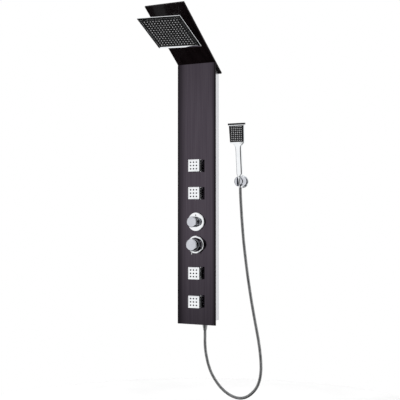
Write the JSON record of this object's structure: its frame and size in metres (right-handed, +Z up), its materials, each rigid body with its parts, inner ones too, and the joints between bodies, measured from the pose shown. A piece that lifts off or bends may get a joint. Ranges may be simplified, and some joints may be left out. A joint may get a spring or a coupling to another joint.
{
  "type": "rainfall shower column",
  "caption": "Wall-hung shower panel with a slanted arm, a tilting square rain head, body jets, a diverter, a mixer and a hand shower on a hose.",
  "frame": {"origin": "centre of the upper wall plate, on the wall", "axes": "+X along the wall to the hand shower, +Y into the wall, +Z up"},
  "size_m": [0.4373, 0.4248, 1.7836],
  "materials": {
    "panel_lacquer": "gloss",
    "arm_lacquer": "satin",
    "rail_aluminium": "satin",
    "zinc_steel": "zinc plated",
    "chrome": "polished",
    "satin_chrome": "satin",
    "black_face": "gloss",
    "pale_nozzle": "matte",
    "dark_nozzle": "matte",
    "brass": "machined",
    "cartridge_plastic": "matte",
    "braided_steel": "braided",
    "hose_steel": "polished spiral"
  },
  "bodies": {
    "root": {"front_panel": "panel_lacquer", "side_rail_left": "rail_aluminium", "side_rail_right": "rail_aluminium", "bottom_cover": "rail_aluminium", "hanger_bars": "zinc_steel", "wall_plates": "zinc_steel", "arm_plate": "arm_lacquer", "arm_housing": "rail_aluminium", "arm_lugs": "zinc_steel", "arm_screws": "zinc_steel", "ball_socket": "chrome", "ball_retainer": "chrome", "socket_nut": "brass", "jet_sockets": "satin_chrome", "jet_lock_nuts": "brass", "diverter_escutcheon": "chrome", "diverter_index": "dark_nozzle", "diverter_body": "brass", "diverter_cartridge": "cartridge_plastic", "mixer_ring": "chrome", "mixer_body": "brass", "mixer_cartridge": "cartridge_plastic", "hot_inlet": "brass", "cold_inlet": "brass", "valve_link_tube": "zinc_steel", "head_feed_hose": "braided_steel", "jet_feed_tube": "zinc_steel", "handset_feed_tube": "zinc_steel", "hose_outlet": "chrome", "bracket_disc": "chrome", "bracket_cradle": "chrome", "hose": "hose_steel", "hose_nut_lower": "chrome"},
    "rain_tilt_ball": {"head_ball": "chrome"},
    "rain_neck": {"head_neck": "chrome"},
    "rain_head": {"head_collar": "chrome", "head_shell": "chrome", "head_frame": "chrome", "head_face": "black_face", "head_nozzles": "pale_nozzle"},
    "diverter_control": {"diverter_spindle": "brass", "diverter_knob": "chrome"},
    "mixer_turret": {"mixer_dome": "chrome"},
    "mixer_handle": {"mixer_knob": "chrome", "mixer_lever": "chrome"},
    "hose_end": {"hose_nut_upper": "chrome"},
    "hand_shower": {"handset_body": "chrome", "handset_face": "black_face"},
    "jet_1_ball": {"jet_ball_1": "satin_chrome"},
    "jet_1_spray": {"jet_head_1": "chrome", "jet_nozzles_1": "dark_nozzle"},
    "jet_2_ball": {"jet_ball_2": "satin_chrome"},
    "jet_2_spray": {"jet_head_2": "chrome", "jet_nozzles_2": "dark_nozzle"},
    "jet_3_ball": {"jet_ball_3": "satin_chrome"},
    "jet_3_spray": {"jet_head_3": "chrome", "jet_nozzles_3": "dark_nozzle"},
    "jet_4_ball": {"jet_ball_4": "satin_chrome"},
    "jet_4_spray": {"jet_head_4": "chrome", "jet_nozzles_4": "dark_nozzle"}
  },
  "joints": [
    {"name": "rain_tilt", "type": "hinge", "parent": "root", "child": "rain_tilt_ball", "pos_m": [0, -0.30736, 0.2352], "axis": [1, 0, 0], "range_deg": [-24, 11]},
    {"name": "rain_lean", "type": "hinge", "parent": "rain_tilt_ball", "child": "rain_neck", "pos_m": [0, -0.30736, 0.2352], "axis": [0, 0.891, -0.454], "range_deg": [-11, 5]},
    {"name": "rain_turn", "type": "hinge", "parent": "rain_neck", "child": "rain_head", "pos_m": [0, -0.30736, 0.2352], "axis": [0.0523, 0.4534, 0.8898], "continuous": true},
    {"name": "jet_1_turn", "type": "hinge", "parent": "root", "child": "jet_1_ball", "pos_m": [0, -0.077, -1.012], "axis": [0, 1, 0], "range_deg": [-45, 45]},
    {"name": "jet_1_tilt", "type": "hinge", "parent": "jet_1_ball", "child": "jet_1_spray", "pos_m": [0, -0.077, -1.012], "axis": [1, 0, 0], "range_deg": [-8, 8]},
    {"name": "jet_2_turn", "type": "hinge", "parent": "root", "child": "jet_2_ball", "pos_m": [0, -0.077, -0.879], "axis": [0, 1, 0], "range_deg": [-45, 45]},
    {"name": "jet_2_tilt", "type": "hinge", "parent": "jet_2_ball", "child": "jet_2_spray", "pos_m": [0, -0.077, -0.879], "axis": [1, 0, 0], "range_deg": [-8, 8]},
    {"name": "jet_3_turn", "type": "hinge", "parent": "root", "child": "jet_3_ball", "pos_m": [0, -0.077, -0.505], "axis": [0, 1, 0], "range_deg": [-45, 45]},
    {"name": "jet_3_tilt", "type": "hinge", "parent": "jet_3_ball", "child": "jet_3_spray", "pos_m": [0, -0.077, -0.505], "axis": [1, 0, 0], "range_deg": [-8, 8]},
    {"name": "jet_4_turn", "type": "hinge", "parent": "root", "child": "jet_4_ball", "pos_m": [0, -0.077, -0.376], "axis": [0, 1, 0], "range_deg": [-45, 45]},
    {"name": "jet_4_tilt", "type": "hinge", "parent": "jet_4_ball", "child": "jet_4_spray", "pos_m": [0, -0.077, -0.376], "axis": [1, 0, 0], "range_deg": [-8, 8]},
    {"name": "diverter_turn", "type": "hinge", "parent": "root", "child": "diverter_control", "pos_m": [0, -0.068, -0.639], "axis": [0, 1, 0], "range_deg": [-120, 120]},
    {"name": "mixer_turn", "type": "hinge", "parent": "root", "child": "mixer_turret", "pos_m": [0, -0.068, -0.746], "axis": [0, 1, 0], "range_deg": [-60, 60]},
    {"name": "mixer_lift", "type": "hinge", "parent": "mixer_turret", "child": "mixer_handle", "pos_m": [0, -0.088, -0.746], "axis": [-1, 0, 0], "range_deg": [0, 15]},
    {"name": "hand_lift", "type": "slide", "parent": "root", "child": "hose_end", "axis": [0, -0.0958, 0.9954], "range_m": [0, 0.06]},
    {"name": "hand_swivel", "type": "hinge", "parent": "hose_end", "child": "hand_shower", "pos_m": [0.21, -0.02932, -0.47987], "axis": [0, -0.0958, 0.9954], "continuous": true}
  ]
}
